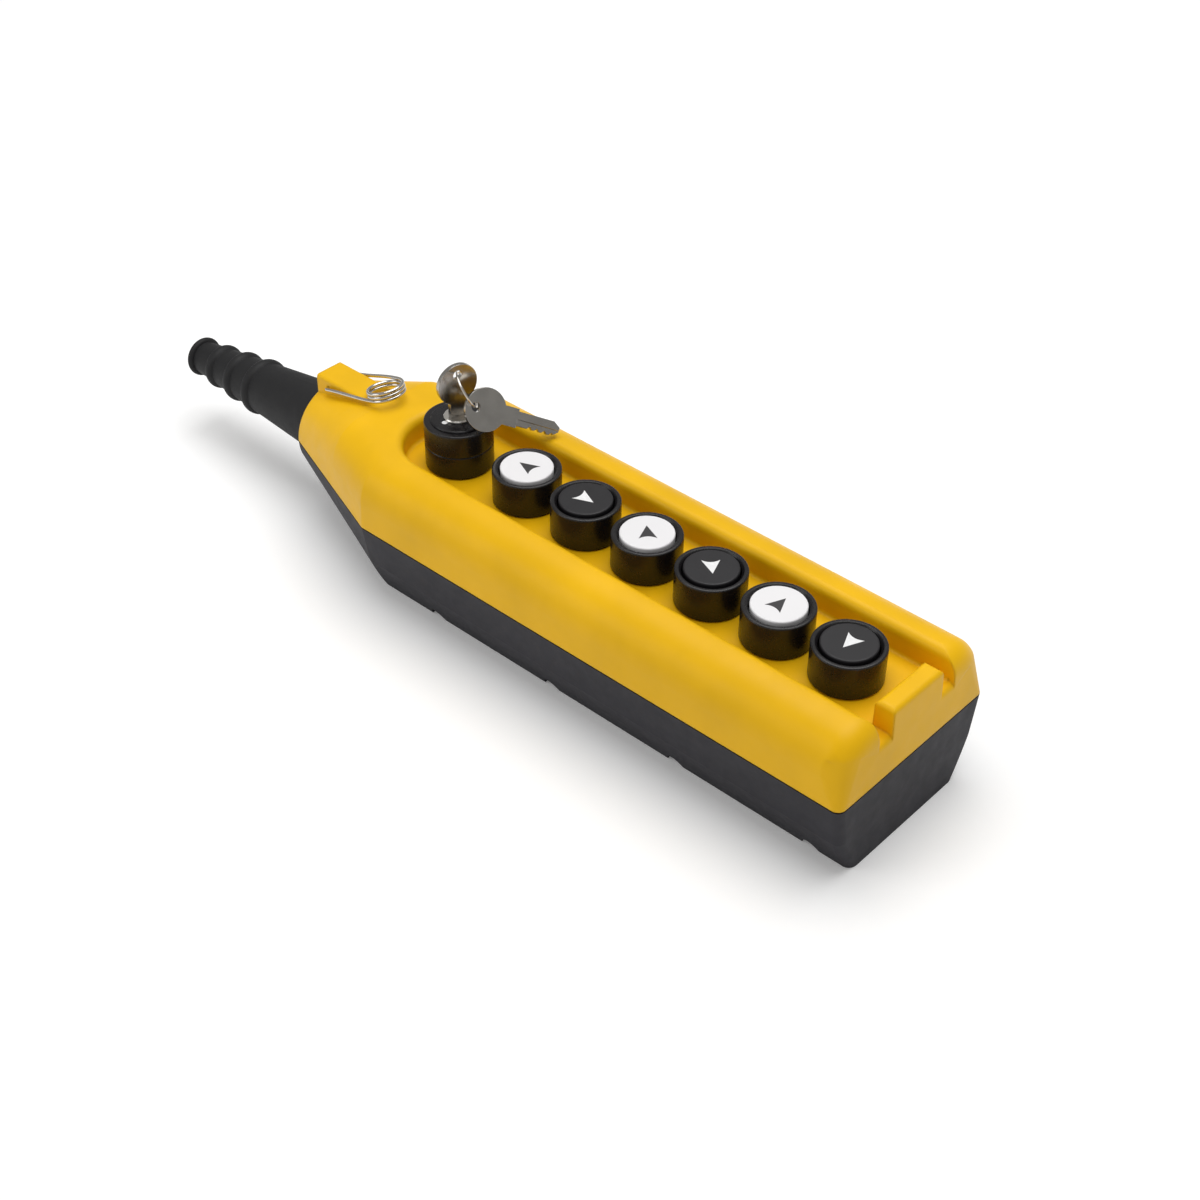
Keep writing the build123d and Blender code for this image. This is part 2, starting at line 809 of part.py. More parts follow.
spring_steps = round(spring_turns * spring_steps_per_turn)
spring_start_height = cap_bore_floor_height + spring_wire / 2 + spring_end_gap
spring_rise = cap_underside - cap_bore_floor_height - spring_wire - 2 * spring_end_gap


def spring_point(x, step):
    """Corner of a return spring's wire, counted in steps from its lower end."""
    turn = 2 * pi * step / spring_steps_per_turn
    height = spring_start_height + spring_rise * step / spring_steps
    return (x + spring_coil_radius * cos(turn), spring_coil_radius * sin(turn), height)


# Buttons: collar, cap, stem, return spring and contact block of each
for number, x in enumerate(button_xs, start=1):
    button_plane = Plane(origin=(x, 0, 0), x_dir=(1, 0, 0), z_dir=(0, -1, 0))
    button_axis = Axis((x, 0, 0), (0, 0, 1))
    with BuildPart() as button_collar:
        with BuildSketch(button_plane):
            with BuildLine():
                rim_start = collar_top_height - collar_rim_radius
                bezel_outer = collar_radius - collar_rim_radius - collar_rim_width
                Polyline(
                    (collar_radius, rim_start),
                    (collar_radius, seal_top),
                    (neck_tube_radius, seal_top),
                    (neck_tube_radius, neck_tube_bottom),
                    (stem_guide_radius, neck_tube_bottom),
                    (stem_guide_radius, cap_bore_floor_height),
                    (cap_bore_radius, cap_bore_floor_height),
                    (cap_bore_radius, collar_top_height - bezel_drop),
                    (bezel_outer, collar_top_height),
                    (collar_radius - collar_rim_radius, collar_top_height),
                )
                RadiusArc(
                    (collar_radius - collar_rim_radius, collar_top_height),
                    (collar_radius, rim_start),
                    collar_rim_radius,
                )
            make_face()
        revolve(axis=button_axis)
    button_collar.part.label = f"button_collar_{number}"
    export_step(button_collar.part, f"parts/button_collar_{number}.step")

    with BuildPart() as button_cap:
        with BuildSketch(button_plane):
            with BuildLine():
                skirt_inner = cap_radius - cap_skirt_thickness
                Polyline(
                    (cap_radius, cap_top_height - cap_edge_radius),
                    (cap_radius, cap_bottom),
                    (skirt_inner, cap_bottom),
                    (skirt_inner, cap_underside),
                    (0, cap_underside),
                    (0, cap_top_height),
                    (cap_radius - cap_edge_radius, cap_top_height),
                )
                RadiusArc(
                    (cap_radius - cap_edge_radius, cap_top_height),
                    (cap_radius, cap_top_height - cap_edge_radius),
                    cap_edge_radius,
                )
            make_face()
        revolve(axis=button_axis)
    button_cap.part.label = f"button_cap_{number}"
    export_step(button_cap.part, f"parts/button_cap_{number}.step")

    with BuildPart() as button_stem:
        with BuildSketch(button_plane):
            with BuildLine():
                stem_stop_top = neck_tube_bottom - moving_gap
                Polyline(
                    (0, cap_underside),
                    (stem_radius, cap_underside),
                    (stem_radius, stem_stop_top),
                    (stem_stop_radius, stem_stop_top),
                    (stem_stop_radius, stem_stop_top - stem_stop_thickness),
                    (stem_radius, stem_stop_top - stem_stop_thickness),
                    (stem_radius, neck_tube_bottom - stem_below_neck),
                    (0, neck_tube_bottom - stem_below_neck),
                    close=True,
                )
            make_face()
        revolve(axis=button_axis)
    button_stem.part.label = f"button_stem_{number}"
    export_step(button_stem.part, f"parts/button_stem_{number}.step")

    with BuildPart() as button_spring:
        with BuildLine() as spring_path:
            Polyline(*[spring_point(x, step) for step in range(spring_steps + 1)])
        with BuildSketch(Plane(origin=spring_path.line @ 0, x_dir=(0, 0, 1), z_dir=spring_path.line % 0)):
            Rectangle(spring_wire, spring_wire)
        sweep(path=spring_path.line, transition=Transition.RIGHT)
    button_spring.part.label = f"button_spring_{number}"
    export_step(button_spring.part, f"parts/button_spring_{number}.step")

    with BuildPart() as contact_block:
        add(block_body(x))
        with BuildSketch(Plane.XY.offset(block_top)):
            with Locations((x, 0)):
                Circle(block_well_radius)
        extrude(amount=-block_well_depth, mode=Mode.SUBTRACT)
    contact_block.part.label = f"contact_block_{number}"
    export_step(contact_block.part, f"parts/contact_block_{number}.step")

# Contact block of the key switch, with a round well for the lock's cam
with BuildPart() as key_contact_block:
    add(block_body(key_x))
    with BuildSketch(Plane.XY.offset(block_top)):
        with Locations((key_x, 0)):
            Circle(cam_well_radius)
    extrude(amount=-cam_well_depth, mode=Mode.SUBTRACT)

key_contact_block.part.label = "key_contact_block"
export_step(key_contact_block.part, "parts/key_contact_block.step")

# Terminal screws on the steps of every contact block
terminal_places = [
    (x + side * terminal_spacing / 2, end * (block_width - terminal_step_width) / 2)
    for x in switch_xs
    for side in (-1, 1)
    for end in (-1, 1)
]
with BuildPart() as terminal_screws:
    with BuildSketch(Plane.XY.offset(block_top - terminal_step_depth)):
        with Locations(*terminal_places):
            Circle(terminal_screw_radius)
    extrude(amount=terminal_screw_height)
    with BuildSketch(Plane.XY.offset(block_top - terminal_step_depth + terminal_screw_height)):
        with Locations(*terminal_places):
            Rectangle(2 * terminal_screw_radius, terminal_slot_width)
    extrude(amount=-terminal_slot_depth, mode=Mode.SUBTRACT)

terminal_screws.part.label = "terminal_screws"
export_step(terminal_screws.part, "parts/terminal_screws.step")

# Seals under the collars, and the nuts that clamp them from inside
with BuildPart() as panel_seals:
    with BuildSketch(Plane.XY.offset(channel_floor_height)):
        with Locations(*[(x, 0) for x in switch_xs]):
            Circle(seal_radius)
            Circle(panel_hole_radius, mode=Mode.SUBTRACT)
    extrude(amount=seal_thickness)

panel_seals.part.label = "panel_seals"
export_step(panel_seals.part, "parts/panel_seals.step")

with BuildPart() as lock_nuts:
    with BuildSketch(Plane.XY.offset(panel_underside)):
        with Locations(*[(x, 0) for x in switch_xs]):
            RegularPolygon(nut_outer_radius, nut_flats)
            Circle(neck_tube_radius + thread_clearance, mode=Mode.SUBTRACT)
    extrude(amount=-nut_thickness)

lock_nuts.part.label = "lock_nuts"
export_step(lock_nuts.part, "parts/lock_nuts.step")

# Key switch: two stacked collars and the raised plate
with BuildPart() as key_lower_collar:
    with BuildSketch(key_profile_plane):
        with BuildLine():
            Polyline(
                (lock_bore_radius, neck_tube_bottom),
                (neck_tube_radius, neck_tube_bottom),
                (neck_tube_radius, seal_top),
                (key_collar_radius, seal_top),
                (key_collar_radius, key_lower_top_height - key_seam_groove),
                (key_collar_radius - key_seam_groove, key_lower_top_height),
                (lock_bore_radius, key_lower_top_height),
                close=True,
            )
        make_face()
    revolve(axis=key_axis)

key_lower_collar.part.label = "key_lower_collar"
export_step(key_lower_collar.part, "parts/key_lower_collar.step")

with BuildPart() as key_upper_collar:
    with BuildSketch(key_profile_plane):
        with BuildLine():
            Polyline(
                (key_collar_radius, key_upper_top_height - collar_rim_radius),
                (key_collar_radius, key_lower_top_height + key_seam_groove),
                (key_collar_radius - key_seam_groove, key_lower_top_height),
                (lock_bore_radius, key_lower_top_height),
                (lock_bore_radius, key_upper_top_height),
                (key_collar_radius - collar_rim_radius, key_upper_top_height),
            )
            RadiusArc(
                (key_collar_radius - collar_rim_radius, key_upper_top_height),
                (key_collar_radius, key_upper_top_height - collar_rim_radius),
                collar_rim_radius,
            )
        make_face()
    revolve(axis=key_axis)

key_upper_collar.part.label = "key_upper_collar"
export_step(key_upper_collar.part, "parts/key_upper_collar.step")

with BuildPart() as key_plate:
    with BuildSketch(Plane.XY.offset(key_upper_top_height)):
        with Locations((key_x, 0)):
            Circle(key_plate_radius)
            Circle(lock_bore_radius, mode=Mode.SUBTRACT)
    extrude(amount=key_plate_thickness)
    chamfer(key_plate.faces().sort_by(Axis.Z)[-1].outer_wire().edges(), length=key_plate_thickness / 2)

key_plate.part.label = "key_plate"
export_step(key_plate.part, "parts/key_plate.step")

# Lock cylinder with the keyway, and the cam on its inner end
with BuildPart() as lock_cylinder:
    with BuildSketch(Plane.XY.offset(lock_bottom)):
        with Locations((key_x, 0)):
            Circle(lock_radius)
    extrude(amount=lock_top - lock_bottom)
    with BuildSketch(Plane.XY.offset(lock_flange_bottom)):
        with Locations((key_x, 0)):
            Circle(lock_flange_radius)
    extrude(amount=lock_flange_thickness)
    chamfer(lock_cylinder.faces().sort_by(Axis.Z)[-1].edges(), length=lock_flange_thickness / 3)
    with BuildSketch(Plane.XY.offset(lock_top)):
        with Locations((key_x, 0)):
            keyway_length = key_blade_width + 2 * key_slot_clearance
            Rectangle(key_thickness + 2 * key_slot_clearance, keyway_length, rotation=-key_bow_turn)
    extrude(amount=keyway_bottom - lock_top, mode=Mode.SUBTRACT)

lock_cylinder.part.label = "lock_cylinder"
export_step(lock_cylinder.part, "parts/lock_cylinder.step")

with BuildPart() as lock_cam:
    with BuildSketch(Plane.XY.offset(lock_bottom)):
        with Locations((key_x, 0)):
            SlotOverall(lock_cam_length, lock_cam_width)
    extrude(amount=-lock_cam_thickness)

lock_cam.part.label = "lock_cam"
export_step(lock_cam.part, "parts/lock_cam.step")

# Keys: one in the lock, and the spare that lies on the collar and the far rail
bow_turn = radians(key_bow_turn)
key_plane = Plane(
    origin=(key_x, 0, key_bow_height),
    x_dir=(0, 0, -1),
    z_dir=(cos(bow_turn), -sin(bow_turn), 0),
)
heading = radians(spare_heading)
dip = radians(spare_dip)
lean = radians(spare_lean)
spare_direction = Vector(cos(dip) * cos(heading), cos(dip) * sin(heading), -sin(dip))
spare_side = Vector(sin(heading), -cos(heading), 0)
spare_up = Vector(sin(dip) * cos(heading), sin(dip) * sin(heading), cos(dip))
spare_plane = Plane(
    origin=(key_x + spare_bow_offset_x, spare_bow_offset_y, key_bow_height - spare_bow_drop),
    x_dir=spare_direction,
    z_dir=spare_side * cos(lean) + spare_up * sin(lean),
)
for name, plane in (("key", key_plane), ("spare_key", spare_plane)):
    with BuildPart() as key:
        with BuildSketch(plane):
            with Locations((key_shoulder_end / 2, 0)):
                Rectangle(key_shoulder_end, key_shoulder_width)
            with BuildLine():
                blade_half = key_blade_width / 2
                tip_start = key_bow_to_tip - blade_half
                Polyline(
                    (0, -blade_half),
                    (tip_start, -blade_half),
                    (key_bow_to_tip, -blade_half / 3),
                    (key_bow_to_tip, blade_half / 3),
                    (tip_start, blade_half),
                    (0, blade_half),
                    close=True,
                )
            make_face()
            with Locations(*[(tip_start - i * key_notch_pitch, -blade_half) for i in range(key_notch_count)]):
                Rectangle(key_notch_size, key_notch_size, rotation=45, mode=Mode.SUBTRACT)
            Circle(key_bow_radius)
            with Locations((-key_hole_offset, 0)):
                Circle(key_hole_radius, mode=Mode.SUBTRACT)
        extrude(amount=key_thickness / 2, both=True)
        with BuildSketch(plane.offset(key_thickness / 2)):
            with Locations(((key_shoulder_end + key_bow_to_tip) / 2, -blade_half / 3)):
                Rectangle(key_bow_to_tip - key_shoulder_end, key_groove_width)
        extrude(amount=-key_groove_depth, mode=Mode.SUBTRACT)
    key.part.label = name
    export_step(key.part, f"parts/{name}.step")

# Key ring through both bows
hole_point = key_plane.from_local_coords(Vector(-key_hole_offset + ring_key_shift_x, ring_key_shift_y, 0))
spare_point = spare_plane.from_local_coords(Vector(-key_hole_offset + ring_spare_shift_x, ring_spare_shift_y, 0))
side_point = key_plane.from_local_coords(Vector(ring_side_x, ring_side_y, 0))
ring_path = ThreePointArc(hole_point, spare_point, side_point)
ring_normal = (spare_point - hole_point).cross(side_point - hole_point).normalized()
with BuildPart() as key_ring:
    with Locations(Plane(origin=ring_path.arc_center, z_dir=ring_normal)):
        Torus(ring_path.radius, ring_wire / 2)

key_ring.part.label = "key_ring"
export_step(key_ring.part, "parts/key_ring.step")

# Hanger clip: a wire whose two legs end in the ridge and meet in an open coil
clip_rise = radians(clip_leg_rise)
clip_plane = Plane(
    origin=(hinge_x, 0, clip_hinge_height),
    x_dir=(cos(clip_rise), 0, sin(clip_rise)),
    z_dir=(-sin(clip_rise), 0, cos(clip_rise)),
)
coil_radius = (clip_coil_outer - clip_wire) / 2
coil_pitch = clip_wire + clip_turn_gap
coil_height = clip_turns * coil_pitch
leg_y = ridge_half_width + clip_leg_gap + clip_wire / 2
tail_y = leg_y - clip_tail_length


def clip_point(x, y, z):
    """Point of the clip, from its own plane into the station's frame."""
    return clip_plane.from_local_coords(Vector(x, y, z))


def bend_points(side):
    """Start, middle and end of the bend from a leg into its tail."""
    centre_y = leg_y - clip_bend_radius
    reach = clip_bend_radius * sin(radians(45))
    start = clip_point(clip_bend_radius, side * leg_y, 0)
    middle = clip_point(clip_bend_radius - reach, side * (centre_y + reach), 0)
    end = clip_point(0, side * centre_y, 0)
    return start, middle, end


coil_place = clip_plane.location * Location((clip_leg_length, 0, -coil_height / 2), (0, 0, -90))
coil = coil_place * Helix(pitch=coil_pitch, height=coil_height, radius=coil_radius)
near_bend = bend_points(-1)
far_bend = bend_points(1)
with BuildPart() as hanger_clip:
    with BuildLine() as clip_path:
        Line(clip_point(0, -tail_y, 0), near_bend[2])
        ThreePointArc(near_bend[2], near_bend[1], near_bend[0])
        Spline(near_bend[0], coil @ 0, tangents=(clip_plane.x_dir, coil % 0))
        add(coil)
        Spline(coil @ 1, far_bend[0], tangents=(coil % 1, -clip_plane.x_dir))
        ThreePointArc(far_bend[0], far_bend[1], far_bend[2])
        Line(far_bend[2], clip_point(0, tail_y, 0))
    with BuildSketch(Plane(origin=clip_path.line @ 0, x_dir=(1, 0, 0), z_dir=clip_path.line % 0)):
        Circle(clip_wire / 2)
    sweep(path=clip_path.line, is_frenet=False)

hanger_clip.part.label = "hanger_clip"
export_step(hanger_clip.part, "parts/hanger_clip.step")
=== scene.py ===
import json
from math import cos, pi, radians, sin

import bmesh
import bpy
from mathutils import Matrix, Vector
from mathutils.bvhtree import BVHTree


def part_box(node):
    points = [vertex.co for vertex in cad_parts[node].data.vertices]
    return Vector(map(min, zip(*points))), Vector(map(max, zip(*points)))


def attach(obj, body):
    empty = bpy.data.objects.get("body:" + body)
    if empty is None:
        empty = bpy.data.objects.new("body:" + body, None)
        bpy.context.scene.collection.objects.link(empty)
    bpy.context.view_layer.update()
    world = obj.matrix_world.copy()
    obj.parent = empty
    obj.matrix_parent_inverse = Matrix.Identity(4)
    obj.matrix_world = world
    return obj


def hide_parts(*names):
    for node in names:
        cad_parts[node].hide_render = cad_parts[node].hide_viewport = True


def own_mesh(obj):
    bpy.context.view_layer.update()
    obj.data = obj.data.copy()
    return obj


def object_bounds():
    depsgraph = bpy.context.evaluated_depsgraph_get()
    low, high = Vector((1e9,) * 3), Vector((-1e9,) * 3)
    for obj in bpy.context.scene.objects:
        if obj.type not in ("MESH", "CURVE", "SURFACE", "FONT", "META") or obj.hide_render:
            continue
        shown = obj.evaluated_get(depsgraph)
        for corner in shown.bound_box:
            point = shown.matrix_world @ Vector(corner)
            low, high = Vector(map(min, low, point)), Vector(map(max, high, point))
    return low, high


bl_info = {
    "name": "Crane pendant control station",
    "version": (1, 0, 0),
    "blender": (4, 5, 0),
    "location": "View3D > Sidebar > Pendant",
    "description": "Dresses the pendant control station with marks, finishes and a studio",
    "category": "Object",
}

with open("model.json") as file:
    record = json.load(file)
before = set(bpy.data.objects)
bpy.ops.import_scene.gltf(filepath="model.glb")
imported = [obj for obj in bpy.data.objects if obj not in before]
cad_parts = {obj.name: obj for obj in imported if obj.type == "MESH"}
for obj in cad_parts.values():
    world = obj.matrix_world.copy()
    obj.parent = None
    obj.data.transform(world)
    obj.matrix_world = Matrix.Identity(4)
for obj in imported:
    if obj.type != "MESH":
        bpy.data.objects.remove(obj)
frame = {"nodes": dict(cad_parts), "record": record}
cad_low, cad_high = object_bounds()
NODES = frame["nodes"]
SLOT_OF_NODE = {entry["node"]: entry["material_slot"] for entry in frame["record"]["subparts"]}
BUTTON_COUNT = 6

# Lengths are in metres and angles in degrees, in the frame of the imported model

# Cover: a vertex closer to the even round than this stays where it is
EASING_TOLERANCE = 0.00001

# Marks: each button's arrow points this way, 0 to the blunt end and 90 to the far side
ARROW_HEADINGS = (180, 0, 135, -45, 90, -90)
ARROW_BACK_STEPS = 6
DOT_OFFSET = Vector((-0.00094, -0.00723))
DOT_CORNERS = 32
DARK_INK_COLOR = (0.03, 0.028, 0.03)
LIGHT_INK_COLOR = (0.86, 0.86, 0.86)

# Studio
FLOOR_HALF_WIDTH = 6.0
FLOOR_GAP = 0.0001
PAPER_DARK = (0.94, 0.94, 0.94)
PAPER_PALE = (0.95, 0.95, 0.95)
LIGHT_TARGET = (0.0, 0.0, 0.03)
MAIN_LIGHT_PLACE = (-0.05, 0.3, 1.5)
MAIN_LIGHT_SIZE = 1.6
SIDE_LIGHT_PLACE = (-0.9, -1.3, 0.9)
SIDE_LIGHT_SIZE = 1.1
BACKDROP_COLOR = (1, 1, 1, 1)
AMBIENT_COLOR = (1.0, 0.99, 0.97, 1)
AMBIENT_STRENGTH = 0.35

# Camera, solved from the row of buttons and the housing's edges in the photograph
CAMERA_PLACE = (0.48515, -0.4815, 0.5456)
CAMERA_RIGHT = Vector((0.7398, 0.6730, 0.0088))
CAMERA_UP = Vector((-0.4276, 0.4599, 0.7784))
CAMERA_AHEAD = Vector((-0.5197, 0.5795, -0.6278))
SENSOR_WIDTH_MM = 36.0
CLIP_START = 0.01
CLIP_END = 50.0


# Shared helpers


def middle(node):
    """Middle of a node's box in plan, then its lowest and highest level."""
    low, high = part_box(node)
    return (low[0] + high[0]) / 2, (low[1] + high[1]) / 2, low[2], high[2]


def placed(name, data):
    """A new object that holds the data, linked into the scene."""
    item = bpy.data.objects.new(name, data)
    bpy.context.collection.objects.link(item)
    return item


def finish(item, material):
    """Gives a new piece its material."""
    item.data.materials.append(material)


# Materials


class MaterialNodes:
    """Short way to build a material's node tree on object coordinates."""

    def __init__(self, name):
        self.material = bpy.data.materials.new(name)
        self.material.use_nodes = True
        self.tree = self.material.node_tree
        self.tree.nodes.clear()
        self.output = self.tree.nodes.new("ShaderNodeOutputMaterial")
        self.shader = self.tree.nodes.new("ShaderNodeBsdfPrincipled")
        self.coordinates = self.tree.nodes.new("ShaderNodeTexCoord")
        self.link(self.shader.outputs["BSDF"], self.output.inputs["Surface"])

    def link(self, source, target):
        self.tree.links.new(source, target)

    def noise(self, scale, detail, roughness=0.5, stretch=(1, 1, 1)):
        """A noise on the piece's own coordinates, which may be stretched."""
        mapping = self.tree.nodes.new("ShaderNodeMapping")
        mapping.inputs["Scale"].default_value = stretch
        self.link(self.coordinates.outputs["Object"], mapping.inputs["Vector"])
        texture = self.tree.nodes.new("ShaderNodeTexNoise")
        texture.inputs["Scale"].default_value = scale
        texture.inputs["Detail"].default_value = detail
        texture.inputs["Roughness"].default_value = roughness
        self.link(mapping.outputs["Vector"], texture.inputs["Vector"])
        return texture.outputs["Fac"]

    def ramp(self, factor, low, high, low_at=0.35, high_at=0.65):
        """A colour that goes from low to high with the factor."""
        ramp = self.tree.nodes.new("ShaderNodeValToRGB")
        ramp.color_ramp.elements[0].position = low_at
        ramp.color_ramp.elements[0].color = (*low, 1)
        ramp.color_ramp.elements[1].position = high_at
        ramp.color_ramp.elements[1].color = (*high, 1)
        self.link(factor, ramp.inputs["Fac"])
        return ramp.outputs["Color"]

    def span(self, factor, low, high, low_at=0.3, high_at=0.7):
        """A value that goes from low to high with the factor."""
        spread = self.tree.nodes.new("ShaderNodeMapRange")
        spread.inputs["From Min"].default_value = low_at
        spread.inputs["From Max"].default_value = high_at
        spread.inputs["To Min"].default_value = low
        spread.inputs["To Max"].default_value = high
        self.link(factor, spread.inputs["Value"])
        return spread.outputs["Result"]

    def rounded_normal(self, radius):
        """A normal that makes sharp edges look rounded."""
        bevel = self.tree.nodes.new("ShaderNodeBevel")
        bevel.samples = 6
        bevel.inputs["Radius"].default_value = radius
        return bevel.outputs["Normal"]

    def bump(self, height, strength, distance, normal=None):
        """A normal with small heights on it, on top of another normal if one is given."""
        bump = self.tree.nodes.new("ShaderNodeBump")
        bump.inputs["Strength"].default_value = strength
        bump.inputs["Distance"].default_value = distance
        self.link(height, bump.inputs["Height"])
        if normal is not None:
            self.link(normal, bump.inputs["Normal"])
        return bump.outputs["Normal"]


def scaled(color, factor):
    """The colour made lighter or darker, with no channel above 1."""
    return tuple(min(1.0, channel * factor) for channel in color)


def moulded(name, color, roughness, grain_scale, grain_depth, edge=0.0003, shine=0.4, tint=0.06):
    """Moulded plastic or rubber: a fine spark-eroded grain with a faint tint drift."""
    nodes = MaterialNodes(name)
    drift = nodes.noise(scale=22.0, detail=4.0)
    tone = nodes.ramp(drift, scaled(color, 1 - tint), scaled(color, 1 + tint))
    nodes.link(tone, nodes.shader.inputs["Base Color"])
    wear = nodes.noise(scale=140.0, detail=5.0, roughness=0.6)
    nodes.link(nodes.span(wear, roughness - 0.05, roughness + 0.06), nodes.shader.inputs["Roughness"])
    nodes.shader.inputs["Specular IOR Level"].default_value = shine
    grain = nodes.noise(scale=grain_scale, detail=2.0)
    normal = nodes.bump(grain, strength=0.35, distance=grain_depth, normal=nodes.rounded_normal(edge))
    nodes.link(normal, nodes.shader.inputs["Normal"])
    return nodes.material


def plated(name, color, roughness, brush=(1, 1, 1), brush_depth=0.000003, edge=0.0002):
    """Plated or brushed metal with a slight unevenness in its shine; edge=0 leaves its edges."""
    nodes = MaterialNodes(name)
    nodes.shader.inputs["Metallic"].default_value = 1.0
    cloud = nodes.noise(scale=160.0, detail=4.0)
    tone = nodes.ramp(cloud, scaled(color, 0.92), scaled(color, 1.04))
    nodes.link(tone, nodes.shader.inputs["Base Color"])
    streaks = nodes.noise(scale=900.0, detail=2.0, stretch=brush)
    nodes.link(nodes.span(streaks, roughness * 0.9, roughness * 1.15), nodes.shader.inputs["Roughness"])
    rounded = nodes.rounded_normal(edge) if edge else None
    normal = nodes.bump(streaks, strength=0.3, distance=brush_depth, normal=rounded)
    nodes.link(normal, nodes.shader.inputs["Normal"])
    return nodes.material


def printed(name, color):
    """Printed ink on a cap or on the key switch."""
    nodes = MaterialNodes(name)
    speck = nodes.noise(scale=700.0, detail=3.0)
    tone = nodes.ramp(speck, scaled(color, 0.94), scaled(color, 1.03))
    nodes.link(tone, nodes.shader.inputs["Base Color"])
    nodes.shader.inputs["Roughness"].default_value = 0.45
    return nodes.material


# Sizes and colours that a user may change


class PendantFinish(bpy.types.PropertyGroup):
    """Colours of the station's plastics and metals."""

    cover_color: bpy.props.FloatVectorProperty(
        name="Cover", description="Colour of the moulded cover",
        default=(0.86, 0.485, 0.003), subtype="COLOR", size=3, min=0, max=1)
    base_color: bpy.props.FloatVectorProperty(
        name="Base", description="Colour of the lower shell",
        default=(0.020, 0.019, 0.025), subtype="COLOR", size=3, min=0, max=1)
    collar_color: bpy.props.FloatVectorProperty(
        name="Collars", description="Colour of the collars of the buttons and the key switch",
        default=(0.010, 0.009, 0.010), subtype="COLOR", size=3, min=0, max=1)
    metal_color: bpy.props.FloatVectorProperty(
        name="Metal", description="Colour of the nickel-plated parts",
        default=(0.80, 0.77, 0.72), subtype="COLOR", size=3, min=0, max=1)
    cover_roughness: bpy.props.FloatProperty(
        name="Cover roughness", description="Roughness of the cover's surface",
        default=0.40, min=0.05, max=1.0, subtype="FACTOR")


class PendantMarks(bpy.types.PropertyGroup):
    """Arrowheads on the caps and the index dot of the key switch."""

    arrow_length: bpy.props.FloatProperty(
        name="Arrow length", description="Length of an arrowhead from its tip to its barbs",
        default=0.0087, min=0.002, max=0.015, unit="LENGTH")
    arrow_half_width: bpy.props.FloatProperty(
        name="Arrow half width", description="Half the distance between an arrowhead's barbs",
        default=0.0038, min=0.001, max=0.01, unit="LENGTH")
    arrow_hollow: bpy.props.FloatProperty(
        name="Arrow hollow", description="Depth of the curve between an arrowhead's barbs",
        default=0.0013, min=0.0, max=0.004, unit="LENGTH")
    mark_thickness: bpy.props.FloatProperty(
        name="Mark thickness", description="Thickness of a printed mark, half of it sunk in its surface",
        default=0.00006, min=0.00001, max=0.001, unit="LENGTH")
    dot_radius: bpy.props.FloatProperty(
        name="Dot radius", description="Radius of the index dot beside the lock",
        default=0.00125, min=0.0002, max=0.004, unit="LENGTH")


class PendantCorners(bpy.types.PropertyGroup):
    """Where the corners of the cover's blunt end are eased."""

    reach: bpy.props.FloatProperty(
        name="Reach", description="How far back from the blunt end a corner is eased",
        default=0.0100, min=0.001, max=0.05, unit="LENGTH")
    start_width: bpy.props.FloatProperty(
        name="Start width", description="Distance from the middle plane where a corner begins",
        default=0.034, min=0.01, max=0.045, unit="LENGTH")
    fade_low: bpy.props.FloatProperty(
        name="Fade low", description="Height above which a corner is eased",
        default=0.0400, min=0.039, max=0.07, unit="LENGTH")
    fade_high: bpy.props.FloatProperty(
        name="Fade high", description="Height below which a corner is eased",
        default=0.0588, min=0.039, max=0.07, unit="LENGTH")


class PendantStudio(bpy.types.PropertyGroup):
    """Camera and light of the studio."""

    main_power: bpy.props.FloatProperty(
        name="Main light", description="Power of the large main light",
        default=19.4, min=0, unit="POWER")
    fill_power: bpy.props.FloatProperty(
        name="Fill light", description="Power of the fill light at the near side",
        default=5.2, min=0, unit="POWER")
    paper_glow: bpy.props.FloatProperty(
        name="Paper glow", description="Brightness added to the floor where the camera sees it",
        default=0.14, min=0.0, max=1.0, subtype="FACTOR")
    lens: bpy.props.FloatProperty(
        name="Lens", description="Focal length of the camera on a 36 mm sensor, in millimetres",
        default=58.06, min=10, max=300, unit="CAMERA")


# Finishes


